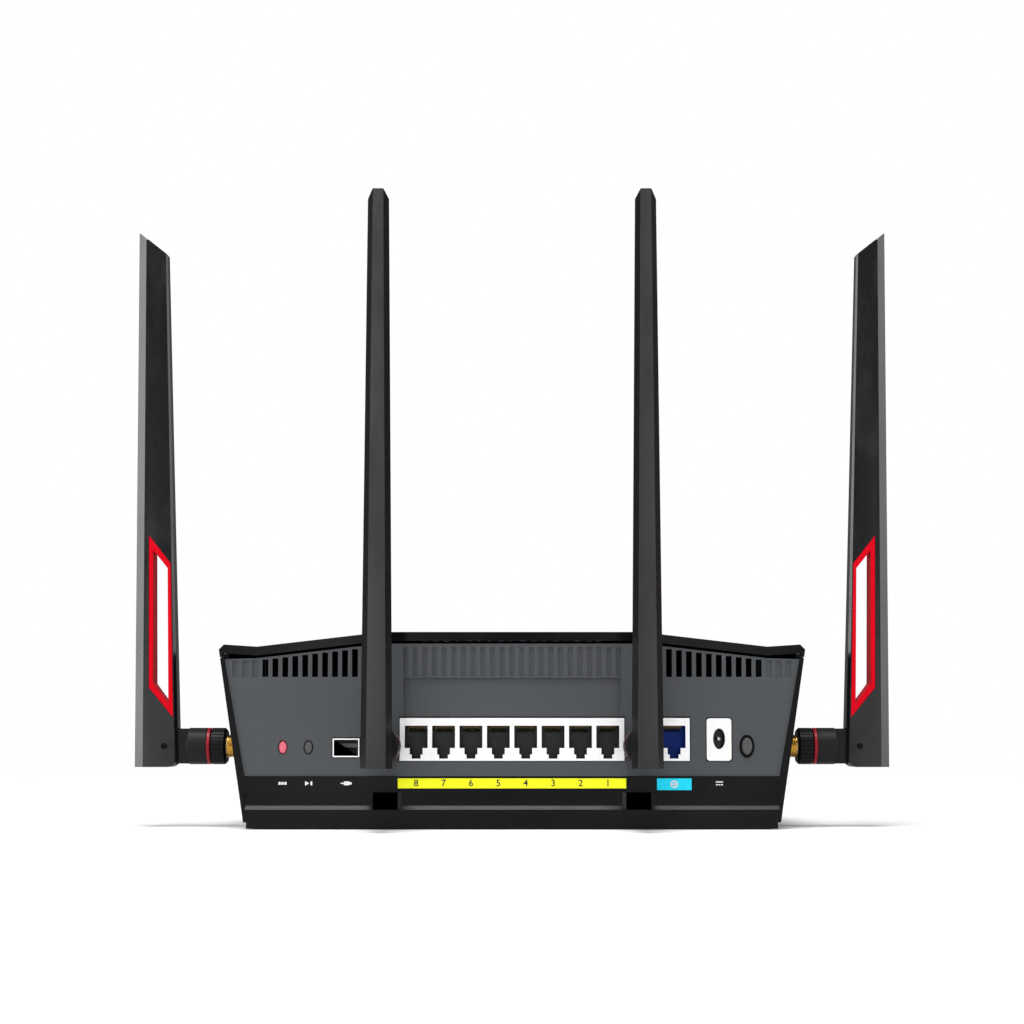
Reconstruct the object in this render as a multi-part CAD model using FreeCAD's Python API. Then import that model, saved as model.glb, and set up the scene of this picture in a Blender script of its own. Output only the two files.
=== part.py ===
import FreeCAD, Part
import math
import os

V = FreeCAD.Vector

# Case, seen from the rear: half widths and heights of the outline
REAR_Y = 68.35
FRONT_Y = -119.65
FOOT_HALF = 135.4
BASE_HALF = 136.9
BASE_Z = 3.6
SHOULDER_HALF = 150.0
SHOULDER_Z = 91.3
CROWN_HALF = 147.5
CROWN_Z = 94.3
VALLEY_HALF = 130.6
VALLEY_Z = 93.2
RIDGE_HALF = 66.0
RIDGE_Z = 100.7
SIDE_SLOPE = (SHOULDER_HALF - BASE_HALF) / (SHOULDER_Z - BASE_Z)
BELLY_Z = 0.6
FLOOR_Z = 3.0
WALL = 2.45
CASE_SPLIT_Z = 38.0

# Roof, seen from the side: each run ends at a y with a drop below the rear height
ROOF_RUNS = [(REAR_Y, 0.0), (20.0, 0.0), (-92.0, 29.0), (-125.0, 53.0)]
COVER_EDGE = 4.6
COVER_SKIN = 2.4
SEAM = 0.8
NOSE_HALF = 112.0
NOSE_CORNER_Y = -78.0

# Rear panel and the bands below it
PANEL_FACE = REAR_Y - 0.8
PANEL_T = 2.5
PANEL_BACK = PANEL_FACE - PANEL_T
PANEL_Z = 27.1
PANEL_SIDE_Z = 86.8
LABEL_Z = 19.8
CHANNEL_TOP = 18.8
CHANNEL_Z = 12.1
CHANNEL_EDGE = 10.05
CHANNEL_DEPTH = 1.35
LOWER_WALL = 5.0
NOTCH_X = 64.6
NOTCH_HALF = 6.3
VENT_PITCH = 5.09
VENT_W = 3.0
VENT_Z = 77.7
VENT_MARGIN = 7.1
RIB_PITCH = 4.96
RIB_W = 2.3
RIB_TOP = 92.9

# Sockets and buttons on the rear panel
BOARD_TOP = 33.0
BOARD_T = 1.6
RJ_PITCH = 13.97
RJ_W = 11.7
RJ_MAIN_Z = 41.4
RJ_TOP = 52.8
RJ_STEPS = [(6.6, 38.1), (4.5, 36.0)]
RJ_DEPTH = 14.0
SHIELD_Z0 = 34.9
SHIELD_Z1 = 56.7
SHIELD_T = 0.4
EDGE_GAP = 0.5
LAN_HALF = 57.3
WAN_X = -82.7
WAN_HALF = 8.0
USB_X = 84.7
USB_Z = 41.5
USB_W = 12.4
USB_H = 8.2
DC_X = -105.7
DC_Z = 46.1
DC_HOLE = (3.05, 5.3)
POWER_X = -119.9
POWER_Z = 42.3
POWER_CAP = (2.6, 4.3)
POWER_RING = (3.8, 5.8)
RESET_X = 117.0
PAIR_X = 103.9
SMALL_BUTTON_Z = 41.8
SMALL_CAP = (1.95, 3.1)
SMALL_HOLE = (2.55, 3.75)

# Aerials
AXIS_Z = 42.4
REAR_AERIAL_X = 66.0
SIDE_AERIAL_Y = 33.0
SIDE_BLADE_X = 175.1
REAR_BLADE_Y = REAR_Y + 28.3
THREAD_R = 6.0
HUB_R = 9.6
STEM_R = 3.5
RUN_GAP = 0.05
PIN_B = 7.3
PIN_R = 1.55
TONGUE_T = 8.6
TONGUE_R = 9.2
SLOT_GAP = 0.35
BLADE_LOW = -11.0
BLADE_TOP = 274.2
BLADE_CORNER = 5.5
BLADE_WEDGE = 1.4
WINDOW = [(16.8, 111.4), (5.2, 96.5), (2.9, 14.8), (15.8, 30.6)]
WINDOW_HOLE = [(14.4, 103.2), (6.9, 93.8), (5.6, 22.3), (13.6, 33.0)]


def box(x0, x1, y0, y1, z0, z1):
    return Part.makeBox(x1 - x0, y1 - y0, z1 - z0, V(x0, y0, z0))


def rod(radius, start, end):
    along = end - start
    return Part.makeCylinder(radius, along.Length, start, along)


def oval(half, x, z, y0, y1):
    """Prism along Y with an upright elliptical outline."""
    centre = V(x, y0, z)
    edge = Part.Ellipse(centre + V(0, 0, half[1]), centre + V(half[0], 0, 0), centre).toShape()
    return Part.Face(Part.Wire([edge])).extrude(V(0, y1 - y0, 0))


def grown(half, gap):
    return half[0] + gap, half[1] + gap


def sheet(points):
    return Part.Face(Part.makePolygon(points + [points[0]]))


def across(outline, y0, y1):
    """Prism along Y from an outline of (x, z)."""
    return sheet([V(x, y0, z) for x, z in outline]).extrude(V(0, y1 - y0, 0))


def sideways(outline, x0, x1):
    """Prism along X from an outline of (y, z)."""
    return sheet([V(x0, y, z) for y, z in outline]).extrude(V(x1 - x0, 0, 0))


def upright(outline, z0, z1):
    """Prism along Z from an outline of (x, y)."""
    return sheet([V(x, y, z0) for x, y in outline]).extrude(V(0, 0, z1 - z0))


def frustum(low, high):
    """Solid between two outlines of vectors with as many corners."""
    wires = [Part.makePolygon(ring + [ring[0]]) for ring in (low, high)]
    return Part.makeLoft(wires, True, True)


def mirrored(half):
    return half + [(-a, b) for a, b in reversed(half)]


def join(shapes):
    return shapes[0].multiFuse(shapes[1:]).removeSplitter()


def save(name, shape):
    os.makedirs("parts", exist_ok=True)
    shape.exportStep("parts/" + name + ".step")


def roof_z(x):
    x = abs(x)
    if x <= RIDGE_HALF:
        return RIDGE_Z
    run = (x - RIDGE_HALF) / (VALLEY_HALF - RIDGE_HALF)
    return RIDGE_Z + min(run, 1.0) * (VALLEY_Z - RIDGE_Z)


# ---------------------------------------------------------------- case

def straight_body(wall):
    top = 110.0
    flare = BASE_HALF - wall + SIDE_SLOPE * (top - BASE_Z)
    half = [(FOOT_HALF - wall, BELLY_Z), (FOOT_HALF - wall, BASE_Z)]
    half += [(BASE_HALF - wall, BASE_Z), (flare, top)]
    return across(mirrored(half), FRONT_Y + wall, REAR_Y)


def nose_plan(wall, rear):
    corner = wall * 1.5
    half = [(170.0 - corner, rear), (170.0 - corner, NOSE_CORNER_Y + 8.7)]
    half += [(NOSE_HALF - wall * 0.35, FRONT_Y + wall)]
    return upright(mirrored(half), -5.0, 115.0)


def under_roof(depth):
    line = [(165.0, 76.8), (CROWN_HALF, CROWN_Z), (VALLEY_HALF, VALLEY_Z), (RIDGE_HALF, RIDGE_Z)]
    half = [(165.0, -70.0)] + [(x, z - depth) for x, z in line]
    runs = []
    for (y0, drop0), (y1, drop1) in zip(ROOF_RUNS, ROOF_RUNS[1:]):
        face = sheet([V(x, y0, z - drop0) for x, z in mirrored(half)])
        runs.append(face.extrude(V(0, y1 - y0, drop0 - drop1)))
    return join(runs)


def case_body(wall, depth, rear):
    body = straight_body(wall).common(nose_plan(wall, rear))
    return body.common(under_roof(depth))


def case_screw_places():
    return [(129.0, 45.0), (-129.0, 45.0), (116.0, -66.0), (-116.0, -66.0)]


def top_cover():
    outer = case_body(0.0, 0.0, REAR_Y)
    cover = outer.cut(under_roof(COVER_EDGE))
    hollow = case_body(3.6, COVER_SKIN, REAR_Y - 3.6)
    cover = cover.cut(hollow)
    lip = case_body(WALL + 0.15, COVER_SKIN - 0.5, REAR_Y - 8.0)
    lip = lip.cut(case_body(WALL + 1.5, -5.0, REAR_Y)).cut(under_roof(COVER_EDGE + 4.0))
    bosses = []
    for x, y in case_screw_places():
        post = Part.makeCylinder(4.2, 70.0, V(x, y, CASE_SPLIT_Z))
        bosses.append(post.common(under_roof(COVER_SKIN - 0.6)))
    cover = join([cover, lip] + bosses)
    holes = [Part.makeCylinder(1.5, 11.0, V(x, y, CASE_SPLIT_Z)) for x, y in case_screw_places()]
    for row, count in enumerate((8, 7, 6)):
        y = -8.0 - 27.0 * row
        for i in range(-count, count + 1):
            lean = abs(i) * 0.9
            holes.append(box(i * 6.0 - 1.3, i * 6.0 + 1.3, y - 20.0 + lean, y + lean, 36.0, 108.0))
    holes += lamp_windows()
    cover = cover.cut(Part.makeCompound(holes))
    for side in (1, -1):
        cover = cover.cut(roof_groove(side))
    save("top_cover", cover)


def roof_groove(side):
    """Shallow styling groove that runs from the rear shoulder to the nose."""
    path = [(66.0, 60.0), (72.0, 60.0), (48.0, -110.0), (44.0, -110.0)]
    cutter = upright([(side * x, y) for x, y in path], 0.0, 115.0)
    return cutter.common(under_roof(-1.0)).cut(under_roof(0.9))


def lamp_windows():
    places = [9.0 * (i - 3.5) for i in range(8)]
    return [box(x - 2.6, x + 2.6, -108.0, -106.4, 30.0, 90.0) for x in places]


def light_pipe():
    studs = Part.makeCompound(lamp_windows()).common(under_roof(0.0)).cut(under_roof(COVER_SKIN))
    bar = box(-37.0, 37.0, -110.0, -104.4, 30.0, 90.0)
    bar = bar.common(under_roof(COVER_SKIN)).cut(under_roof(COVER_SKIN + 2.0))
    save("light_pipe", join([bar] + studs.Solids))


def panel_half(inset, low):
    """Half of the rear opening, from the bottom of the panel to the seam under the cover."""
    z0 = PANEL_Z + low
    x0 = BASE_HALF + SIDE_SLOPE * (z0 - BASE_Z) - 4.0 - inset
    lip = COVER_EDGE + SEAM + 0.5
    x1 = BASE_HALF + SIDE_SLOPE * (PANEL_SIDE_Z - BASE_Z) - 2.2 - inset
    return [(x0, z0), (x1, PANEL_SIDE_Z), (VALLEY_HALF, VALLEY_Z - lip), (RIDGE_HALF, RIDGE_Z - lip)]


def panel_opening(inset, low, y0, y1):
    """The same opening left open at the top, so that the panel drops in from above."""
    half = panel_half(inset, low)[:2]
    half.append((half[1][0], 115.0))
    return across(mirrored(half), y0, y1)


def channel(x0, x1, slope):
    """Recess with a sloping floor, and sloping ends when slope is set."""
    outside = [V(x, REAR_Y, z) for x, z in
               ((x0, CHANNEL_EDGE), (x1, CHANNEL_EDGE), (x1, CHANNEL_TOP), (x0, CHANNEL_TOP))]
    a, b, y = x0 + slope, x1 - slope, REAR_Y - CHANNEL_DEPTH
    inside = [V(x, y, z) for x, z in
              ((a, CHANNEL_Z), (b, CHANNEL_Z), (b, CHANNEL_TOP), (a, CHANNEL_TOP))]
    return frustum(outside, inside)


def foot_places():
    return [(112.0, 50.0), (-112.0, 50.0), (98.0, -84.0), (-98.0, -84.0)]


def board_screw_places():
    return [(118.0, 15.0), (-118.0, 15.0), (0.0, 28.0), (118.0, -48.0), (-118.0, -48.0), (0.0, -48.0)]


def bottom_cover():
    lid = COVER_EDGE + SEAM
    outer = case_body(0.0, lid, REAR_Y)
    cavity = case_body(WALL, lid - 3.0, REAR_Y - PANEL_T - 3.3)
    cavity = cavity.cut(box(-200, 200, -200, 200, -10, FLOOR_Z))
    cavity = cavity.cut(box(-200, 200, REAR_Y - LOWER_WALL, 200, -10, PANEL_Z))
    tub = outer.cut(cavity)
    tub = tub.cut(panel_opening(0.0, 0.0, PANEL_BACK, REAR_Y + 1.0))
    tub = tub.cut(panel_opening(1.5, 1.5, REAR_Y - 8.0, REAR_Y))
    posts = [rod(4.0, V(x, y, FLOOR_Z - 0.5), V(x, y, BOARD_TOP - BOARD_T)) for x, y in board_screw_places()]
    posts += [rod(4.2, V(x, y, FLOOR_Z - 0.5), V(x, y, CASE_SPLIT_Z)) for x, y in case_screw_places()]
    inside = straight_body(0.5)
    for side in (1, -1):
        pad = rod(10.5, V(side * 136.0, SIDE_AERIAL_Y, AXIS_Z), V(side * 141.5, SIDE_AERIAL_Y, AXIS_Z))
        posts.append(pad)
    posts = [post.common(inside) for post in posts]
    tub = join([tub] + posts)
    cuts = [channel(70.0, 136.2, 0.0), channel(-136.2, -70.0, 0.0), channel(-58.0, 58.0, 1.7)]
    cuts.append(box(-136.0, 136.0, REAR_Y - 0.6, REAR_Y + 1, LABEL_Z, PANEL_Z - 0.5))
    for side in (1, -1):
        x = side * NOTCH_X
        cuts.append(box(x - NOTCH_HALF, x + NOTCH_HALF, REAR_Y - 6.0, REAR_Y + 1, CHANNEL_EDGE, 18.9))
        cuts.append(rod(THREAD_R, V(side * 130.0, SIDE_AERIAL_Y, AXIS_Z), V(side * 160.0, SIDE_AERIAL_Y, AXIS_Z)))
        cuts.append(rod(4.0, V(side * 60.0, 0, -1), V(side * 60.0, 0, 5)))
        cuts.append(rod(2.1, V(side * 60.0, 8.0, -1), V(side * 60.0, 8.0, 5)))
        cuts.append(box(side * 60.0 - 2.1, side * 60.0 + 2.1, 0.0, 8.0, -1, 5))
        for i in range(7):
            x = side * (22.0 + 11.0 * i)
            cuts.append(box(x - 1.5, x + 1.5, -40.0, -12.0, -1, 5))
    for x, y in board_screw_places():
        cuts.append(rod(1.25, V(x, y, 18.0), V(x, y, BOARD_TOP)))
    for x, y in case_screw_places():
        cuts.append(rod(1.75, V(x, y, -1.0), V(x, y, CASE_SPLIT_Z + 1.0)))
        cuts.append(rod(3.3, V(x, y, -1.0), V(x, y, 4.5)))
    for x, y in foot_places():
        cuts.append(rod(7.0, V(x, y, -1.0), V(x, y, 1.8)))
    save("bottom_cover", tub.cut(Part.makeCompound(cuts)))


def rubber_feet():
    feet = []
    for x, y in foot_places():
        pad = Part.makeCylinder(7.0, 1.8, V(x, y, 0))
        feet.append(pad.makeChamfer(0.4, [e for e in pad.Edges if e.BoundBox.ZMax < 0.01]))
    save("rubber_feet", Part.makeCompound(feet))


def screw(x, y, z, head_r, head_t, shank_r, length, up):
    """Recessed cross head at z, with the shank going up or down from it."""
    head = Part.makeCylinder(head_r, head_t, V(x, y, z if up < 0 else z - head_t))
    shank = Part.makeCylinder(shank_r, length, V(x, y, z), V(0, 0, up))
    cross = []
    top = z + head_t if up < 0 else z - head_t
    for a, b in ((head_r * 0.6, 0.35), (0.35, head_r * 0.6)):
        cross.append(box(x - a, x + a, y - b, y + b, top - 0.7, top + 0.7))
    return join([head, shank]).cut(join(cross))


def screws():
    board = [screw(x, y, BOARD_TOP, 2.6, 1.6, 1.25, 12.0, -1) for x, y in board_screw_places()]
    save("board_screws", Part.makeCompound(board))
    case = [screw(x, y, 4.5, 3.0, 2.0, 1.5, 42.0, 1) for x, y in case_screw_places()]
    save("case_screws", Part.makeCompound(case))


# ---------------------------------------------------------------- rear panel

def vent_slots():
    slots = []
    for side in (1, -1):
        for i in range(13):
            x = side * (80.4 + VENT_PITCH * i)
            deep = PANEL_BACK - 1.0 if i < 10 else PANEL_FACE - 0.7
            slots.append(box(x - VENT_W / 2, x + VENT_W / 2, deep, REAR_Y, VENT_Z, roof_z(x) - VENT_MARGIN))
    for i in range(23):
        x = (i - 11) * RIB_PITCH
        slots.append(box(x - RIB_W / 2, x + RIB_W / 2, PANEL_FACE - 0.8, REAR_Y, VENT_Z + 0.6, RIB_TOP))
    return slots


def rear_panel():
    plate = across(mirrored(panel_half(0.0, 0.0)), PANEL_BACK, PANEL_FACE)
    sill = box(-59.0, 59.0, PANEL_FACE, PANEL_FACE + 0.7, PANEL_Z, SHIELD_Z0 - 0.5)
    hubs = []
    for side in (1, -1):
        x = side * REAR_AERIAL_X
        hubs.append(rod(8.7, V(x, PANEL_FACE, AXIS_Z), V(x, PANEL_FACE + 1.6, AXIS_Z)))
    plate = join([plate, sill] + hubs)
    y0, y1 = REAR_Y - 10.0, REAR_Y + 5.0
    cuts = []
    cuts.append(box(-55.6, 55.6, PANEL_FACE - 1.3, y1, SHIELD_Z1, VENT_Z - 0.4))
    for x, half in ((0.0, LAN_HALF), (WAN_X, WAN_HALF)):
        cuts.append(box(x - half - EDGE_GAP, x + half + EDGE_GAP, y0, y1, SHIELD_Z0 - 0.2, SHIELD_Z1 + 0.8))
    w, h = USB_W / 2 + 0.65 + EDGE_GAP, USB_H / 2 + 0.65 + EDGE_GAP
    cuts.append(box(USB_X - w, USB_X + w, y0, y1, USB_Z - h, USB_Z + h))
    cuts.append(dc_plate(EDGE_GAP, y0, y1))
    cuts.append(oval(grown(POWER_RING, 0.05), POWER_X, POWER_Z, y0, y1))
    for x in (RESET_X, PAIR_X):
        cuts.append(oval(SMALL_HOLE, x, SMALL_BUTTON_Z, y0, y1))
    for side in (1, -1):
        x = side * REAR_AERIAL_X
        cuts.append(rod(THREAD_R, V(x, y0, AXIS_Z), V(x, y1, AXIS_Z)))
    save("rear_panel", plate.cut(Part.makeCompound(vent_slots())).cut(join(cuts)))


def label_strips():
    y0, y1 = REAR_Y - 0.6, REAR_Y - 0.35
    save("lan_label_strip", box(-58.2, 58.2, y0, y1, 20.9, 26.0))
    save("wan_label_strip", box(WAN_X - 8.8, WAN_X + 8.8, y0, y1, 20.0, 26.0))


# ---------------------------------------------------------------- sockets

def rj_hole(x, y0, y1):
    parts = [box(x - RJ_W / 2, x + RJ_W / 2, y0, y1, RJ_MAIN_Z, RJ_TOP)]
    top = RJ_MAIN_Z
    for width, low in RJ_STEPS:
        parts.append(box(x - width / 2, x + width / 2, y0, y1, low, top))
        top = low
    return join(parts)


def rj_contact(x):
    """Eight spring wires on one carrier bar, hung from the roof of the socket."""
    back = REAR_Y - SHIELD_T * 2 - RJ_DEPTH
    bar = box(x - 4.8, x + 4.8, back, back + 2.0, RJ_TOP - 1.6, RJ_TOP)
    wires = [bar]
    for i in range(8):
        cx = x + (i - 3.5) * 1.02
        outline = [(back + 0.5, RJ_TOP - 1.0), (back + 0.5, RJ_TOP - 3.4), (back + 1.0, RJ_TOP - 3.4)]
        outline += [(back + 8.6, RJ_TOP - 0.9), (back + 8.6, RJ_TOP - 0.5), (back + 1.6, RJ_TOP - 2.6)]
        outline += [(back + 1.6, RJ_TOP - 1.0)]
        wires.append(sideways(outline, cx - 0.2, cx + 0.2))
    return join(wires)


def rj_block(centre, half, ports):
    front = REAR_Y - SHIELD_T * 2
    back = REAR_Y - 18.0
    upper = box(centre - half, centre + half, back, front, SHIELD_Z0, SHIELD_Z1 - SHIELD_T)
    lower = box(centre - half, centre + half, back, PANEL_BACK - 0.2, BOARD_TOP, SHIELD_Z0)
    holes = [rj_hole(x, front - RJ_DEPTH, front + 1.0) for x in ports]
    return join([upper, lower]).cut(Part.makeCompound(holes))


def rj_shield(centre, half, ports):
    front = REAR_Y - SHIELD_T
    back = REAR_Y - 18.0
    skin = box(centre - half, centre + half, back, front, SHIELD_Z0, SHIELD_Z1)
    skin = skin.cut(box(centre - half + SHIELD_T, centre + half - SHIELD_T, back - 1, front - SHIELD_T,
                        SHIELD_Z0 - 1, SHIELD_Z1 - SHIELD_T))
    return skin.cut(Part.makeCompound([rj_hole(x, front - 2.0, front + 1.0) for x in ports]))


def network_sockets():
    lan = [(i - 3.5) * RJ_PITCH for i in range(8)]
    save("lan_socket_block", rj_block(0.0, LAN_HALF - SHIELD_T, lan))
    save("lan_shield", rj_shield(0.0, LAN_HALF, lan))
    save("wan_socket_block", rj_block(WAN_X, WAN_HALF - SHIELD_T, [WAN_X]))
    save("wan_shield", rj_shield(WAN_X, WAN_HALF, [WAN_X]))
    save("socket_contacts", Part.makeCompound([rj_contact(x) for x in lan + [WAN_X]]))


def usb_socket():
    front = PANEL_FACE + 0.3
    back = REAR_Y - 17.0
    w, h = USB_W / 2, USB_H / 2
    tube = box(USB_X - w - 0.4, USB_X + w + 0.4, back + 2.0, front, USB_Z - h - 0.4, USB_Z + h + 0.4)
    flare = box(USB_X - w - 0.65, USB_X + w + 0.65, front - 0.5, front, USB_Z - h - 0.65, USB_Z + h + 0.65)
    shell = join([tube, flare])
    shell = shell.cut(box(USB_X - w, USB_X + w, back, front + 1, USB_Z - h, USB_Z + h))
    save("usb_shell", shell)
    stand = box(USB_X - 6.0, USB_X + 6.0, back, back + 2.0, BOARD_TOP, USB_Z + h)
    plinth = box(USB_X - 6.0, USB_X + 6.0, back, PANEL_BACK - 0.2, BOARD_TOP, USB_Z - h - 0.4)
    plug = box(USB_X - w, USB_X + w, back + 2.0, back + 5.0, USB_Z - h, USB_Z + h)
    tongue = box(USB_X - 5.5, USB_X + 5.5, back + 5.0, front - 2.0, USB_Z + 0.2, USB_Z + 2.3)
    save("usb_tongue", join([stand, plinth, plug, tongue]))


def dc_plate(gap, y0, y1):
    plate = box(DC_X - 6.3 - gap, DC_X + 6.3 + gap, y0, y1, SHIELD_Z0 - gap, SHIELD_Z1 - 0.2 + gap)
    return plate.makeFillet(1.5, [e for e in plate.Edges if e.BoundBox.YLength > 1.0])


def dc_jack():
    front = PANEL_FACE + 0.3
    plate = dc_plate(0.0, PANEL_BACK - 2.0, front)
    body = box(DC_X - 5.5, DC_X + 5.5, REAR_Y - 17.0, PANEL_BACK - 2.0, BOARD_TOP, DC_Z + 7.0)
    save("dc_jack", join([plate, body]).cut(oval(DC_HOLE, DC_X, DC_Z, front - 10.5, front + 1)))
    pin = rod(1.0, V(DC_X, front - 10.5, DC_Z), V(DC_X, front - 1.2, DC_Z))
    tip = [e for e in pin.Edges if abs(e.BoundBox.YMin - (front - 1.2)) < 0.01 and e.Closed]
    save("dc_jack_pin", pin.makeFillet(0.5, tip))


def power_switch():
    body = box(POWER_X - 5.5, POWER_X + 5.5, REAR_Y - 19.0, PANEL_BACK, BOARD_TOP, POWER_Z + 6.4)
    body = join([body, oval(POWER_RING, POWER_X, POWER_Z, PANEL_BACK, PANEL_FACE + 0.6)])
    hole = oval(grown(POWER_CAP, 0.05), POWER_X, POWER_Z, REAR_Y - 15.0, REAR_Y + 2)
    save("power_switch", body.cut(hole))
    cap = oval(POWER_CAP, POWER_X, POWER_Z, REAR_Y - 12.0, PANEL_FACE + 1.4)
    rim = [e for e in cap.Edges if e.Closed and e.BoundBox.YMin > PANEL_FACE]
    save("power_button", cap.makeFillet(0.6, rim))


def small_button(x):
    cap = oval(SMALL_CAP, x, SMALL_BUTTON_Z, PANEL_BACK - 3.0, PANEL_FACE - 0.2)
    rim = [e for e in cap.Edges if e.Closed and e.BoundBox.YMin > PANEL_BACK]
    cap = cap.makeFillet(0.5, rim)
    collar = oval(grown(SMALL_HOLE, 0.9), x, SMALL_BUTTON_Z, PANEL_BACK - 1.05, PANEL_BACK - 0.05)
    stem = rod(1.0, V(x, PANEL_BACK - 6.0, SMALL_BUTTON_Z), V(x, PANEL_BACK - 3.0, SMALL_BUTTON_Z))
    return join([cap, collar, stem])


def small_buttons():
    save("reset_button", small_button(RESET_X))
    save("pairing_button", small_button(PAIR_X))
    switches = []
    for x in (RESET_X, PAIR_X):
        y = PANEL_BACK - 5.0
        body = box(x - 3.0, x + 3.0, y - 4.5, y, BOARD_TOP, SMALL_BUTTON_Z + 3.0)
        switches.append(body.cut(rod(1.06, V(x, y - 3.0, SMALL_BUTTON_Z), V(x, y + 1, SMALL_BUTTON_Z))))
    save("tact_switches", Part.makeCompound(switches))


# ---------------------------------------------------------------- electronics

def main_board():
    board = box(-124.0, 124.0, -58.0, REAR_Y - 5.6, BOARD_TOP - BOARD_T, BOARD_TOP)
    holes = [rod(1.6, V(x, y, 28.0), V(x, y, 36.0)) for x, y in board_screw_places()]
    save("main_board", board.cut(Part.makeCompound(holes)))


def board_parts():
    z = BOARD_TOP
    save("processor", box(-32.0, -8.0, -22.0, 2.0, z, z + 2.0))
    sink = [box(-45.0, 5.0, -35.0, 15.0, z + 2.0, z + 5.0)]
    for i in range(11):
        x = -44.0 + 4.8 * i
        sink.append(box(x - 0.7, x + 0.7, -35.0, 15.0, z + 5.0, z + 20.0))
    save("heatsink", join(sink))
    cans = []
    for x in (72.0, -78.0):
        can = box(x - 18.0, x + 18.0, -20.0, 14.0, z, z + 4.5)
        cans.append(can.cut(box(x - 17.7, x + 17.7, -19.7, 13.7, z, z + 4.2)))
    save("radio_shield_cans", Part.makeCompound(cans))
    blocks = [box(x - 9.0, x + 9.0, 35.0, 47.0, z, z + 6.0) for x in (-44.0, -20.0, 20.0, 44.0)]
    save("port_transformers", Part.makeCompound(blocks))
    cans = []
    for x, y in ((-106.0, 40.0), (-94.0, 40.0), (-106.0, 28.0)):
        can = Part.makeCylinder(4.0, 12.0, V(x, y, z))
        cans.append(can.makeFillet(0.6, [e for e in can.Edges if e.Closed and e.BoundBox.ZMin > z + 1]))
    save("capacitors", Part.makeCompound(cans))


def coax(start, way):
    """Coax lead: straight in from the connector, one wide bend, straight down to the board."""
    bend = 5.0
    turn = start + way * 6.0
    centre = turn - V(0, 0, bend)
    middle = centre + way * (bend * math.sin(math.pi / 4)) + V(0, 0, bend * math.cos(math.pi / 4))
    down = centre + way * bend
    end = V(down.x, down.y, BOARD_TOP)
    edges = [Part.makeLine(start, turn), Part.Arc(turn, middle, down).toShape(), Part.makeLine(down, end)]
    ring = Part.Wire([Part.makeCircle(0.7, start, way)])
    return Part.Wire(edges).makePipeShell([ring], True, False)


# ---------------------------------------------------------------- aerials

def turned(profile):
    """Solid of revolution about X from an outline of (x, r)."""
    face = sheet([V(x, 0, r) for x, r in profile])
    return face.revolve(V(0, 0, 0), V(1, 0, 0), 360.0)


def connector(wall_in):
    """Gold bulkhead connector along X; the blade's near edge is at x = 0."""
    end = -20.2
    line = [(wall_in - 8.0, 1.0), (wall_in - 8.0, 2.4), (wall_in - 2.6, 2.4), (wall_in - 2.6, THREAD_R)]
    line += [(-31.0, THREAD_R)]
    x = -31.0
    while x + 0.9 < -25.3:
        line += [(x + 0.45, THREAD_R - 0.45), (x + 0.9, THREAD_R)]
        x += 0.9
    line += [(end - 0.4, THREAD_R), (end, THREAD_R - 0.4), (end, 1.0)]
    return turned(line)


def hex_nut(x0, x1):
    corner = THREAD_R + 2.3
    ring = [(corner * math.cos(math.pi / 3 * i), corner * math.sin(math.pi / 3 * i)) for i in range(6)]
    nut = sheet([V(x0, y, z) for y, z in ring]).extrude(V(x1 - x0, 0, 0))
    return nut.cut(rod(THREAD_R, V(x0 - 1, 0, 0), V(x1 + 1, 0, 0)))


def coupling_nut():
    """Knurled nut that spins on the connector's thread, closed by a flange behind it."""
    outer = turned([(-25.1, 0), (-25.1, HUB_R - 1.2), (-23.9, HUB_R), (-17.4, HUB_R),
                    (-16.9, HUB_R - 0.5), (-16.9, 0)])
    bore = turned([(-26.0, 0), (-26.0, THREAD_R + RUN_GAP), (-18.2, THREAD_R + RUN_GAP), (-18.2, 0)])
    hole = rod(STEM_R + RUN_GAP, V(-19, 0, 0), V(-16, 0, 0))
    grooves = []
    for i in range(28):
        a = math.pi * 2 * i / 28
        y, z = (HUB_R + 0.15) * math.cos(a), (HUB_R + 0.15) * math.sin(a)
        grooves.append(rod(0.5, V(-23.6, y, z), V(-17.7, y, z)))
    return outer.cut(bore).cut(hole).cut(Part.makeCompound(grooves))


def swivel_ring():
    return turned([(-16.7, STEM_R), (-16.7, HUB_R - 0.2), (-16.4, HUB_R + 0.05), (-15.2, HUB_R + 0.05),
                   (-14.9, HUB_R - 0.2), (-14.9, STEM_R)])


def swivel_barrel():
    """Barrel with its stem through the nut, and the tongue that carries the hinge pin."""
    body = turned([(-19.9, 0), (-19.9, 5.2), (-19.0, 5.2), (-19.0, STEM_R), (-14.9, STEM_R),
                   (-14.9, HUB_R - 0.4), (-14.5, HUB_R), (-5.2, HUB_R), (-4.4, HUB_R - 0.8), (-4.4, 0)])
    half = TONGUE_T / 2
    neck = box(-4.6, PIN_B, -half, half, -TONGUE_R, TONGUE_R)
    eye = rod(TONGUE_R, V(PIN_B, -half, 0), V(PIN_B, half, 0))
    body = join([body, neck, eye])
    return body.cut(rod(PIN_R + RUN_GAP, V(PIN_B, -10, 0), V(PIN_B, 10, 0)))


def blade_ring(z, edges, grow):
    near, far, flat, thick, tip = edges
    thin = thick - BLADE_WEDGE
    ring = [V(near, -(thin - (flat - near)) - grow, z), V(flat, -thin - grow, z)]
    ring += [V(tip, -thick - grow, z), V(far, -(thick - (far - tip) * 0.6277) - grow, z)]
    ring += [V(p.x, -p.y, z) for p in reversed(ring)]
    return ring


def blade_body(grow):
    low = blade_ring(BLADE_LOW, (0.0, 23.0, 1.5, 7.85, 18.3), grow)
    high = blade_ring(BLADE_TOP + 0.6, (9.4, 24.4, 10.4, 5.2, 20.2), grow)
    return frustum(low, high)


def window_prism(outline):
    return across(outline, -12.0, 12.0)


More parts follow.
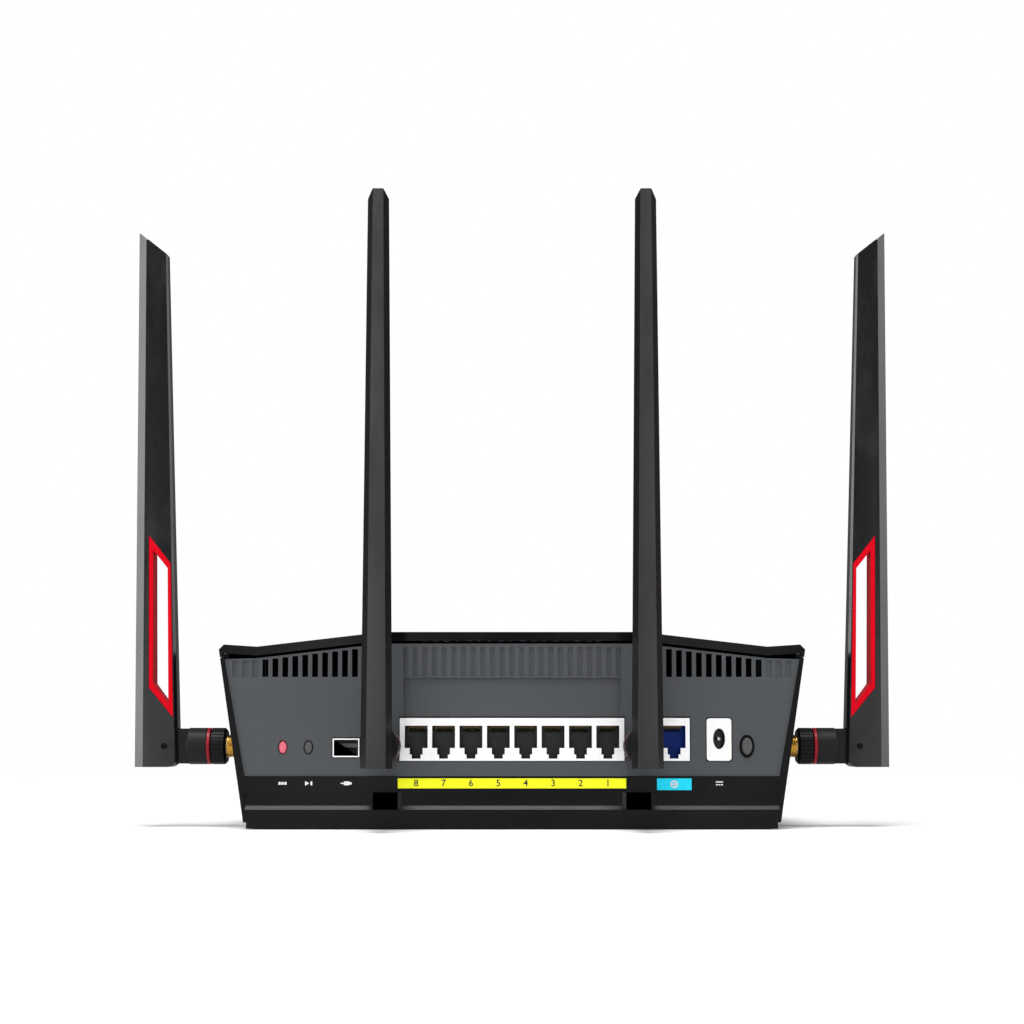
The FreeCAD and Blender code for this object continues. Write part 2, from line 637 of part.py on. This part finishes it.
def blade():
    solid = blade_body(0.0)
    tip = [(-2.0, BLADE_LOW - 1), (27.0, BLADE_LOW - 1), (27.0, BLADE_TOP + 2.0)]
    tip += [(24.4, BLADE_TOP), (9.4, BLADE_TOP - 11.7), (-2.0, BLADE_TOP - 20.6)]
    solid = solid.common(across(tip, -12, 12))
    gable = [(-9.0, BLADE_LOW - 1), (9.0, BLADE_LOW - 1), (9.0, BLADE_TOP - 10.8), (2.6, BLADE_TOP + 0.2)]
    gable += [(-2.6, BLADE_TOP + 0.2), (-9.0, BLADE_TOP - 10.8)]
    solid = solid.common(sideways(gable, -2.0, 27.0))
    bend, low = BLADE_CORNER, BLADE_LOW + BLADE_CORNER
    corner = box(-1, bend, -12, 12, BLADE_LOW - 1, low)
    corner = corner.cut(rod(bend, V(bend, -13, low), V(bend, 13, low)))
    slot_half = TONGUE_T / 2 + SLOT_GAP
    reach = TONGUE_R + SLOT_GAP
    slot = join([box(-1, PIN_B, -slot_half, slot_half, BLADE_LOW - 1, reach),
                 box(-1, PIN_B + reach, -slot_half, slot_half, BLADE_LOW - 1, 0.0),
                 rod(reach, V(PIN_B, -slot_half, 0), V(PIN_B, slot_half, 0))])
    core = frustum([V(x, y, 117.0) for x, y in ((6.4, -4.0), (18.0, -4.0), (18.0, 4.0), (6.4, 4.0))],
                   [V(x, y, 250.0) for x, y in ((10.8, -2.2), (19.0, -2.2), (19.0, 2.2), (10.8, 2.2))])
    pin_hole = rod(PIN_R, V(PIN_B, -20, 0), V(PIN_B, 20, 0))
    return solid.cut(join([corner, slot])).cut(window_prism(WINDOW)).cut(core).cut(pin_hole)


def window_frame():
    frame = blade_body(-0.15).common(window_prism(WINDOW))
    return frame.cut(window_prism(WINDOW_HOLE))


def hinge_pin():
    half = 6.4
    pin = rod(PIN_R, V(PIN_B, -half, 0), V(PIN_B, half, 0))
    return pin.makeChamfer(0.3, [e for e in pin.Edges if e.Closed])


def radiator():
    board = box(11.0, 17.0, -0.5, 0.5, 117.0, 240.0)
    return join([board, box(11.0, 17.0, -1.2, 1.2, 117.0, 121.0)])


def placed(shape, turn, spot):
    copy = shape.copy()
    copy.rotate(V(0, 0, 0), V(0, 0, 1), turn)
    copy.translate(spot)
    return copy


def aerials():
    places = {
        "left_side": (0.0, V(SIDE_BLADE_X, SIDE_AERIAL_Y, AXIS_Z)),
        "right_side": (180.0, V(-SIDE_BLADE_X, SIDE_AERIAL_Y, AXIS_Z)),
        "left_rear": (90.0, V(REAR_AERIAL_X, REAR_BLADE_Y, AXIS_Z)),
        "right_rear": (90.0, V(-REAR_AERIAL_X, REAR_BLADE_Y, AXIS_Z)),
    }
    pieces = {
        "coupling_nut": coupling_nut(),
        "swivel_ring": swivel_ring(),
        "swivel_barrel": swivel_barrel(),
        "blade": blade(),
        "window_frame": window_frame(),
        "hinge_pin": hinge_pin(),
        "radiator": radiator(),
    }
    connectors, nuts, leads = [], [], []
    for name, (turn, spot) in places.items():
        for piece, shape in pieces.items():
            save(name + "_" + piece, placed(shape, turn, spot))
        inner = 136.0 - SIDE_BLADE_X if "side" in name else PANEL_BACK - REAR_BLADE_Y
        connectors.append(placed(connector(inner), turn, spot))
        nuts.append(placed(hex_nut(inner - 2.5, inner), turn, spot))
        way = V(-math.cos(math.radians(turn)), -math.sin(math.radians(turn)), 0)
        leads.append(coax(spot + way * (8.0 - inner), way))
    save("aerial_connectors", Part.makeCompound(connectors))
    save("connector_nuts", Part.makeCompound(nuts))
    save("coax_leads", Part.makeCompound(leads))


top_cover()
light_pipe()
bottom_cover()
rubber_feet()
screws()
rear_panel()
label_strips()
network_sockets()
usb_socket()
dc_jack()
power_switch()
small_buttons()
main_board()
board_parts()
aerials()
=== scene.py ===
import math
import bmesh
import bpy
from mathutils import Matrix, Vector


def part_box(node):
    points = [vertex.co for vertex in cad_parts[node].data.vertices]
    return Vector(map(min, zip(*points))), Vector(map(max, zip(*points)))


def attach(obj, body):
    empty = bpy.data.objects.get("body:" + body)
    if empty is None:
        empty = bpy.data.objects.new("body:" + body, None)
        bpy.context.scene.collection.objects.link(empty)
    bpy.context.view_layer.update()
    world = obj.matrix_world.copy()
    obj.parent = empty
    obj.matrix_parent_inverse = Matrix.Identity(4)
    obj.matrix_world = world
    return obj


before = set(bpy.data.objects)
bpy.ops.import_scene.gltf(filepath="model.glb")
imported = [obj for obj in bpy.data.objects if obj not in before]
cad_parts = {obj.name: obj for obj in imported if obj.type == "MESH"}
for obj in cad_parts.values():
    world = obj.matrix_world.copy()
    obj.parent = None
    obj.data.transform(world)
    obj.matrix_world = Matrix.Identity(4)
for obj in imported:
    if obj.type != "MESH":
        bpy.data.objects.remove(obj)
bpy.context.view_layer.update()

# The viewpoint stands level with the sockets, about a metre behind the rear panel, on a
# long lens, so that the four aerials stand almost parallel.
lens = bpy.data.cameras.new("view")
lens.sensor_width = 36.0
lens.lens = 69.1
lens.shift_y = 0.1
viewpoint = bpy.data.objects.new("view", lens)
viewpoint.location = (0.0, 1.073, 0.0435)
viewpoint.rotation_euler = (math.radians(93.77), 0.0, math.radians(180.0))
bpy.context.collection.objects.link(viewpoint)
bpy.context.scene.camera = viewpoint
bpy.context.scene.view_settings.view_transform = "Standard"


# Studio: a pale painted table top, two tall soft boxes beside the aerials, a broad one
# over the roof, and two narrow ones behind the viewpoint.
class Wire:
    """A socket in a material's tree. Arithmetic on it adds Math nodes."""

    def __init__(self, tree, socket):
        self.tree = tree
        self.socket = socket

    def node(self, kind, settings, inputs, output=0):
        """Adds a node: settings first, then each input's value or wire."""
        made = self.tree.nodes.new("ShaderNode" + kind)
        for name, value in settings.items():
            setattr(made, name, value)
        for name, value in inputs.items():
            if isinstance(value, Wire):
                self.tree.links.new(value.socket, made.inputs[name])
            else:
                made.inputs[name].default_value = value
        return Wire(self.tree, made.outputs[output])

    def maths(self, operation, first, second):
        return self.node("Math", {"operation": operation}, {0: first, 1: second})

    def __add__(self, other):
        return self.maths("ADD", self, other)

    def __radd__(self, other):
        return self.maths("ADD", other, self)

    def __sub__(self, other):
        return self.maths("SUBTRACT", self, other)

    def __rsub__(self, other):
        return self.maths("SUBTRACT", other, self)

    def __mul__(self, other):
        return self.maths("MULTIPLY", self, other)

    def __rmul__(self, other):
        return self.maths("MULTIPLY", other, self)

    def between(self, low, high):
        """0 at low, 1 at high, held outside them."""
        return self.node("MapRange", {"clamp": True}, {"Value": self, "From Min": low, "From Max": high})

    def noise(self, scale, detail=2.0, roughness=0.5):
        return self.node("TexNoise", {}, {"Vector": self, "Scale": scale, "Detail": detail,
                                          "Roughness": roughness})

    def stretched(self, x, y, z):
        return self.node("VectorMath", {"operation": "MULTIPLY"}, {0: self, 1: (x, y, z)})

    def axis(self, name):
        return self.node("SeparateXYZ", {}, {0: self}, "XYZ".index(name))

    def tint(self, low, high):
        """Colour from low to high as this goes from 0 to 1."""
        return self.node("Mix", {"data_type": "RGBA"}, {0: self, 6: (*low, 1.0), 7: (*high, 1.0)}, 2)

    def over(self, below, colour):
        """A flat colour laid over another colour where this is 1."""
        return self.node("Mix", {"data_type": "RGBA"}, {0: self, 6: below, 7: (*colour, 1.0)}, 2)

    def relief(self, strength, depth):
        return self.node("Bump", {}, {"Strength": strength, "Distance": depth, "Height": self})

    def feeds(self, name):
        self.tree.links.new(self.socket, self.tree.nodes["Principled BSDF"].inputs[name])


def finish(name, **constants):
    """A material with its shader's constants set, and the object's own coordinates."""
    material = bpy.data.materials.new(name)
    material.use_nodes = True
    tree = material.node_tree
    for key, value in constants.items():
        label = key.replace("_", " ").title().replace("Ior", "IOR")
        tree.nodes["Principled BSDF"].inputs[label].default_value = value
    place = Wire(tree, tree.nodes.new("ShaderNodeTexCoord").outputs["Object"])
    return material, place


table_paint, place = finish("table_paint", specular_ior_level=0.0)
place.noise(3.0).tint((0.9, 0.9, 0.9), (0.92, 0.92, 0.92)).feeds("Base Color")
(place.noise(40.0) * 0.1 + 0.7).feeds("Roughness")
shape = bmesh.new()
bmesh.ops.create_circle(shape, cap_ends=True, segments=128, radius=1.7)
table_mesh = bpy.data.meshes.new("table_top")
shape.to_mesh(table_mesh)
shape.free()
table = bpy.data.objects.new("table_top", table_mesh)
table.data.materials.append(table_paint)
bpy.context.collection.objects.link(table)

room = bpy.data.worlds.new("room")
room.use_nodes = True
bpy.context.scene.world = room
seen = room.node_tree.nodes.new("ShaderNodeLightPath")
dimmed = room.node_tree.nodes.new("ShaderNodeMapRange")
room.node_tree.links.new(seen.outputs["Is Camera Ray"], dimmed.inputs["Value"])
dimmed.inputs["To Min"].default_value = 0.15
dimmed.inputs["To Max"].default_value = 1.0
room.node_tree.links.new(dimmed.outputs[0], room.node_tree.nodes["Background"].inputs["Strength"])
room.node_tree.nodes["Background"].inputs["Color"].default_value = (1.0, 1.0, 1.0, 1.0)

for name, way, spread, power in (
    ("broad_top", (0.05, 0.28, 1.0), 30.0, 2.8),
    ("broad_front", (0.3, 1.0, 0.85), 26.0, 0.6),
):
    lamp = bpy.data.lights.new(name, "SUN")
    lamp.angle = math.radians(spread)
    lamp.energy = power
    holder = bpy.data.objects.new(name, lamp)
    holder.rotation_euler = Vector(way).to_track_quat("Z", "Y").to_euler()
    bpy.context.collection.objects.link(holder)

for name, spot, aim, size, power in (
    ("soft_left", (1.25, 0.42, 0.25), (0.18, 0.03, 0.15), (0.45, 1.2), 12.5),
    ("soft_right", (-1.25, 0.42, 0.25), (-0.18, 0.03, 0.15), (0.45, 1.2), 6.8),
    ("strip_left", (0.34, 2.6, 0.6), (0.0, 0.07, 0.1), (0.24, 1.3), 3.5),
    ("strip_right", (-0.34, 2.6, 0.6), (0.0, 0.07, 0.1), (0.24, 1.3), 2.8),
):
    lamp = bpy.data.lights.new(name, "AREA")
    lamp.shape = "RECTANGLE"
    lamp.size, lamp.size_y = size
    lamp.energy = power
    holder = bpy.data.objects.new(name, lamp)
    holder.location = spot
    holder.rotation_euler = (Vector(aim) - Vector(spot)).to_track_quat("-Z", "Y").to_euler()
    bpy.context.collection.objects.link(holder)


# Bottom cover: one injection-moulded tub of black plastic with a fine spark texture. It
# carries the board, the rear panel and the side aerials, and closes against the cover's seam.
def wear(names, material):
    """Gives the material to CAD nodes."""
    for name in names:
        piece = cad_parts[name]
        piece.data.materials.clear()
        piece.data.materials.append(material)


def soften(names, width):
    """Rounds the moulded edges of CAD nodes by a fraction of a millimetre."""
    for name in names:
        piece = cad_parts[name]
        weld = piece.modifiers.new("weld", "WELD")
        weld.merge_threshold = 0.00001
        planes = piece.modifiers.new("planes", "DECIMATE")
        planes.decimate_type = "DISSOLVE"
        planes.angle_limit = math.radians(0.4)
        edge = piece.modifiers.new("edge", "BEVEL")
        edge.width = width
        edge.segments = 2
        edge.limit_method = "ANGLE"
        edge.angle_limit = math.radians(28.0)
        edge.harden_normals = True
        flat = piece.modifiers.new("flat", "WEIGHTED_NORMAL")
        flat.keep_sharp = True


def moulded(name, dark, light, gloss, grain=0.35, sheen=0.5):
    """Spark-textured plastic: fine grain, slow colour drift, a few handling smudges."""
    material, place = finish(name, ior=1.5, specular_ior_level=sheen)
    drift = place.noise(14.0, 3.0)
    smudge = place.stretched(1.0, 1.0, 0.4).noise(55.0, 4.0, 0.65).between(0.5, 0.75)
    drift.tint(dark, light).feeds("Base Color")
    (place.noise(900.0, 2.0) * 0.08 + smudge * 0.1 + gloss).feeds("Roughness")
    place.noise(2600.0, 2.0, 0.6).relief(grain, 0.00004).feeds("Normal")
    return material


case_black = moulded("case_black", (0.0013, 0.0013, 0.0016), (0.0026, 0.0026, 0.0031), 0.15, 0.06, 0.13)
wear(["bottom_cover"], case_black)
soften(["bottom_cover"], 0.0002)

# Feet and fixings: four moulded rubber pads pressed into pockets, and cross-head steel
# screws that close the case from below and hold the board to its posts.
foot_rubber, place = finish("foot_rubber", ior=1.45)
place.noise(60.0, 4.0).tint((0.012, 0.012, 0.012), (0.028, 0.027, 0.026)).feeds("Base Color")
(place.noise(300.0) * 0.15 + 0.7).feeds("Roughness")
place.noise(1500.0, 3.0).relief(0.5, 0.00006).feeds("Normal")
wear(["rubber_feet"], foot_rubber)

screw_steel, place = finish("screw_steel", metallic=1.0)
place.noise(500.0, 4.0).tint((0.42, 0.42, 0.43), (0.6, 0.6, 0.6)).feeds("Base Color")
(place.noise(900.0, 3.0) * 0.25 + 0.22).feeds("Roughness")
wear(["board_screws", "case_screws", "connector_nuts", "dc_jack_pin"], screw_steel)

# Main board: green solder mask over copper on glass fibre, screwed to the posts, with its
# processor, heatsink, shield cans, transformers, capacitors and thin aerial leads.
solder_mask, place = finish("solder_mask", ior=1.5)
tracks = place.node("TexBrick", {"offset": 0.5}, {"Vector": place, "Scale": 260.0, "Mortar Size": 0.03}, 1)
tracks.tint((0.008, 0.075, 0.03), (0.02, 0.14, 0.06)).feeds("Base Color")
(place.noise(200.0) * 0.1 + 0.25).feeds("Roughness")
tracks.relief(0.4, 0.00004).feeds("Normal")
wear(["main_board"], solder_mask)
for aerial in ("left_side", "right_side", "left_rear", "right_rear"):
    wear([aerial + "_radiator"], solder_mask)

chip_epoxy, place = finish("chip_epoxy", ior=1.5)
place.noise(400.0, 3.0).tint((0.012, 0.012, 0.012), (0.024, 0.024, 0.025)).feeds("Base Color")
(place.noise(1200.0) * 0.15 + 0.5).feeds("Roughness")
place.noise(3000.0).relief(0.4, 0.00003).feeds("Normal")
wear(["processor", "port_transformers", "tact_switches"], chip_epoxy)

fin_aluminium, place = finish("fin_aluminium", metallic=1.0)
drawn = place.stretched(1.0, 0.05, 1.0)
drawn.noise(900.0, 3.0).tint((0.55, 0.56, 0.58), (0.75, 0.76, 0.78)).feeds("Base Color")
(drawn.noise(1500.0) * 0.2 + 0.28).feeds("Roughness")
wear(["heatsink", "capacitors"], fin_aluminium)

lead_jacket, place = finish("lead_jacket", ior=1.45)
place.noise(300.0).tint((0.05, 0.05, 0.055), (0.09, 0.09, 0.095)).feeds("Base Color")
(place.noise(800.0) * 0.1 + 0.4).feeds("Roughness")
wear(["coax_leads"], lead_jacket)

# Network, USB and power sockets: black, blue and white mouldings soldered to the board's
# rear edge. The network ones wear a bright tinned steel face, the USB one a folded shell.
socket_black = moulded("socket_black", (0.02, 0.02, 0.02), (0.03, 0.03, 0.03), 0.42, 0.2)
wear(["lan_socket_block"], socket_black)
tongue_grey = moulded("tongue_grey", (0.05, 0.05, 0.052), (0.07, 0.07, 0.072), 0.4, 0.2)
wear(["usb_tongue"], tongue_grey)
socket_blue = moulded("socket_blue", (0.02, 0.07, 0.4), (0.028, 0.085, 0.5), 0.4, 0.2, 0.15)
wear(["wan_socket_block"], socket_blue)

tinned, place = finish("tinned_steel", metallic=0.25)
upright_streaks = place.stretched(1.0, 1.0, 0.08)
upright_streaks.noise(700.0, 3.0).tint((0.88, 0.88, 0.89), (0.96, 0.96, 0.96)).feeds("Base Color")
(place.stretched(0.08, 1.0, 1.0).noise(1200.0) * 0.15 + 0.3).feeds("Roughness")
wear(["lan_shield", "wan_shield", "usb_shell", "radio_shield_cans"], tinned)

# Gold darkened to a dark brown as painted shade: the contacts are coloured as if in the shade deep inside the
# sockets.
contact_gold, place = finish("contact_gold", metallic=1.0)
place.noise(900.0).tint((0.08, 0.06, 0.03), (0.13, 0.095, 0.045)).feeds("Base Color")
(place.noise(1500.0) * 0.15 + 0.2).feeds("Roughness")
wear(["socket_contacts"], contact_gold)

socket_white, place = finish("socket_white", ior=1.5)
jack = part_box("dc_jack")
plate_face = jack[1][1]
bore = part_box("dc_jack_pin")
bore_x = (bore[0][0] + bore[1][0]) / 2
bore_z = (bore[0][2] + bore[1][2]) / 2
BORE_HALF_WIDTH = 0.0031
BORE_HALF_HEIGHT = 0.0054
across = (place.axis("X") - bore_x) * (1 / BORE_HALF_WIDTH)
up = (place.axis("Z") - bore_z) * (1 / BORE_HALF_HEIGHT)
inside_bore = (across * across + up * up).between(1.03, 1.0)
below_face = place.axis("Y").between(plate_face - 0.0002, plate_face - 0.0004)
white = place.noise(80.0).tint((0.8, 0.8, 0.79), (0.88, 0.88, 0.87))
(inside_bore * below_face).over(white, (0.008, 0.008, 0.008)).feeds("Base Color")
(place.noise(900.0) * 0.1 + 0.3).feeds("Roughness")
place.noise(2600.0).relief(0.2, 0.00003).feeds("Normal")
wear(["dc_jack"], socket_white)
soften(["dc_jack", "usb_shell"], 0.0002)

# Rear panel: a satin charcoal plate that drops into the tub from above, with pierced vents
# towards its ends, blind ribs between the rear aerials and a sill under the network sockets.
panel_grey = moulded("panel_grey", (0.046, 0.051, 0.056), (0.057, 0.063, 0.069), 0.42, 0.35, 0.4)
wear(["rear_panel"], panel_grey)
soften(["rear_panel"], 0.0003)

# Buttons: moulded caps behind the panel, pressed from outside on to switches on the board.
button_grey = moulded("button_grey", (0.05, 0.05, 0.055), (0.07, 0.07, 0.075), 0.35)
wear(["power_button", "pairing_button"], button_grey)
ring_black = moulded("ring_black", (0.0012, 0.0012, 0.0012), (0.002, 0.002, 0.002), 0.45, 0.1, 0.08)
wear(["power_switch"], ring_black)
reset_red = moulded("reset_red", (0.62, 0.1, 0.15), (0.72, 0.14, 0.2), 0.35)
wear(["reset_button"], reset_red)

# Port labels: printed polyester film, yellow for the eight local sockets and cyan for the
# outside line, stuck on the glossy band below the panel.
def film(name, low, high):
    material, place = finish(name, ior=1.5, specular_ior_level=0.1)
    place.noise(120.0, 3.0).tint(low, high).feeds("Base Color")
    (place.noise(700.0) * 0.1 + 0.3).feeds("Roughness")
    return material


wear(["lan_label_strip"], film("yellow_film", (0.9, 0.95, 0.015), (0.94, 0.98, 0.026)))
wear(["wan_label_strip"], film("cyan_film", (0.014, 0.67, 0.9), (0.022, 0.71, 0.95)))

# Printed marks: port numbers in dark ink on the yellow film, and small plain symbols in
# white ink under the two small buttons, the USB port, the outside line and the power jack.
def ink(name, colour):
    material, place = finish(name, ior=1.45)
    place.noise(2000.0, 3.0).tint(colour, tuple(c * 0.8 for c in colour)).feeds("Base Color")
    (place.noise(900.0) * 0.1 + 0.45).feeds("Roughness")
    return material


def printed(name, shape, x, y, z, material):
    """Stands a flat shape, drawn in x and z, on a surface that faces the rear."""
    mesh = bpy.data.meshes.new(name)
    shape.to_mesh(mesh)
    shape.free()
    facing_rear = Matrix.Rotation(math.pi, 4, "Z") @ Matrix.Rotation(math.pi / 2, 4, "X")
    mesh.transform(Matrix.Translation((x, y, z)) @ facing_rear)
    mark = bpy.data.objects.new(name, mesh)
    mark.data.materials.append(material)
    bpy.context.collection.objects.link(mark)
    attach(mark, "housing")
    return mark


def bar(shape, x, z, width, height):
    place = Matrix.Translation((x, z, 0.0)) @ Matrix.Diagonal((width, height, 1.0, 1.0))
    bmesh.ops.create_grid(shape, x_segments=1, y_segments=1, size=0.5, matrix=place)


def arrow(shape, x, z, size, turn):
    place = Matrix.Translation((x, z, 0.0)) @ Matrix.Rotation(turn, 4, "Z")
    bmesh.ops.create_circle(shape, cap_ends=True, segments=3, radius=size, matrix=place)


def hoop(shape, x, z, radius, width):
    """Flat ring: a circle's edge extruded inwards."""
    place = Matrix.Translation((x, z, 0.0))
    made = bmesh.ops.create_circle(shape, segments=28, radius=radius, matrix=place)
    edges = {edge for corner in made["verts"] for edge in corner.link_edges}
    inner = bmesh.ops.extrude_edge_only(shape, edges=list(edges))["geom"]
    corners = [part for part in inner if isinstance(part, bmesh.types.BMVert)]
    centre = Matrix.Translation((-x, -z, 0.0))
    bmesh.ops.scale(shape, vec=(1 - width / radius,) * 3, verts=corners, space=centre)


dark_ink = ink("dark_ink", (0.02, 0.02, 0.02))
white_ink = ink("white_ink", (0.85, 0.85, 0.85))
INK_LIFT = 0.00006
BAND_DEPTH = 0.0006
film_low, film_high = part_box("lan_label_strip")
film_face = film_high[1] + INK_LIFT
film_middle = (film_low[2] + film_high[2]) / 2
PORT_PITCH = 0.01397
for port in range(1, 9):
    curve = bpy.data.curves.new("port_number", "FONT")
    curve.body = str(port)
    curve.size = 0.0048
    curve.offset = 0.00006
    curve.align_x = "CENTER"
    curve.align_y = "CENTER"
    drawn = bpy.data.objects.new("port_number", curve)
    bpy.context.collection.objects.link(drawn)
    bpy.context.view_layer.update()
    shape = bmesh.new()
    shape.from_mesh(drawn.to_mesh())
    drawn.to_mesh_clear()
    bpy.data.objects.remove(drawn)
    bmesh.ops.recalc_face_normals(shape, faces=shape.faces)
    printed("port_number_%d" % port, shape, (port - 4.5) * PORT_PITCH, film_face, film_middle, dark_ink)

band_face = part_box("bottom_cover")[1][1] - BAND_DEPTH + INK_LIFT
CAP_HALF = 0.0034
shape = bmesh.new()
for i in range(3):
    bar(shape, (i - 1) * 0.0015, 0.0, 0.0011, 0.0014)
printed("reset_mark", shape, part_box("reset_button")[0][0] + CAP_HALF, band_face, film_middle, white_ink)
shape = bmesh.new()
arrow(shape, -0.0009, 0.0, 0.0014, -math.pi / 2)
bar(shape, 0.0016, 0.0, 0.0009, 0.002)
printed("pairing_mark", shape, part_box("pairing_button")[0][0] + CAP_HALF, band_face, film_middle, white_ink)
shape = bmesh.new()
bar(shape, 0.0004, 0.0, 0.0028, 0.002)
bar(shape, 0.0024, 0.0, 0.0012, 0.0012)
bar(shape, -0.0018, 0.0, 0.0016, 0.0006)
usb_low, usb_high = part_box("usb_shell")
printed("usb_mark", shape, (usb_low[0] + usb_high[0]) / 2, band_face, film_middle, white_ink)
shape = bmesh.new()
bar(shape, 0.0, 0.0007, 0.0036, 0.0006)
for i in range(3):
    bar(shape, (i - 1) * 0.0013, -0.0007, 0.0009, 0.0006)
printed("power_mark", shape, bore_x, band_face, film_middle, white_ink)
wan_low, wan_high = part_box("wan_label_strip")
shape = bmesh.new()
hoop(shape, 0.0, 0.0, 0.002, 0.0006)
bar(shape, 0.0, 0.0, 0.0036, 0.0006)
bar(shape, 0.0, 0.0, 0.0006, 0.0036)
wan_x = (wan_low[0] + wan_high[0]) / 2
wan_z = (wan_low[2] + wan_high[2]) / 2
printed("globe_mark", shape, wan_x, film_face, wan_z, white_ink)

# Top cover: a black moulding whose roof dips towards each shoulder and falls away to the
# front, with slots over the heatsink and a row of clear lamp windows in the nose.
wear(["top_cover"], case_black)
soften(["top_cover"], 0.0006)
clear_lens, place = finish("clear_lens", ior=1.49, transmission_weight=0.6)
place.noise(200.0).tint((0.7, 0.74, 0.78), (0.8, 0.84, 0.88)).feeds("Base Color")
(place.noise(700.0) * 0.1 + 0.15).feeds("Roughness")
wear(["light_pipe"], clear_lens)

# Aerial connectors: turned brass, gold plated and threaded, pushed out through the walls
# and held by a nut inside the case.
gold_plate, place = finish("gold_plate", metallic=1.0)
place.noise(500.0, 3.0).tint((0.78, 0.52, 0.17), (0.92, 0.68, 0.28)).feeds("Base Color")
(place.noise(1400.0, 3.0) * 0.18 + 0.18).feeds("Roughness")
wear(["aerial_connectors"], gold_plate)

# Aerials: a knurled nut, a dark red ring and a barrel whose tongue carries the hinge pin,
# then the tapered blade with its glossy red window frame snapped in from both sides.
blade_black = moulded("blade_black", (0.0042, 0.0047, 0.0054), (0.0062, 0.0068, 0.0077), 0.1, 0.1, 0.36)
barrel_black = moulded("barrel_black", (0.009, 0.009, 0.01), (0.013, 0.013, 0.014), 0.4, 0.2, 0.12)
nut_black = moulded("nut_black", (0.003, 0.003, 0.0035), (0.0045, 0.0045, 0.005), 0.3, 0.2, 0.12)
ring_red = moulded("ring_red", (0.2, 0.002, 0.008), (0.27, 0.004, 0.012), 0.3, 0.2, 0.25)
frame_red, place = finish("frame_red", ior=1.5, specular_ior_level=0.03)
place.noise(30.0, 3.0).tint((0.58, 0.002, 0.009), (0.67, 0.003, 0.015)).feeds("Base Color")
(place.noise(800.0) * 0.1 + 0.25).feeds("Roughness")
place.noise(60.0, 2.0).relief(0.15, 0.0002).feeds("Normal")
for aerial in ("left_side", "right_side", "left_rear", "right_rear"):
    wear([aerial + "_blade"], blade_black)
    wear([aerial + "_swivel_barrel"], barrel_black)
    wear([aerial + "_coupling_nut"], nut_black)
    wear([aerial + "_swivel_ring"], ring_red)
    wear([aerial + "_window_frame"], frame_red)
    wear([aerial + "_hinge_pin"], case_black)
    soften([aerial + "_blade"], 0.0005)
    soften([aerial + "_window_frame"], 0.0003)
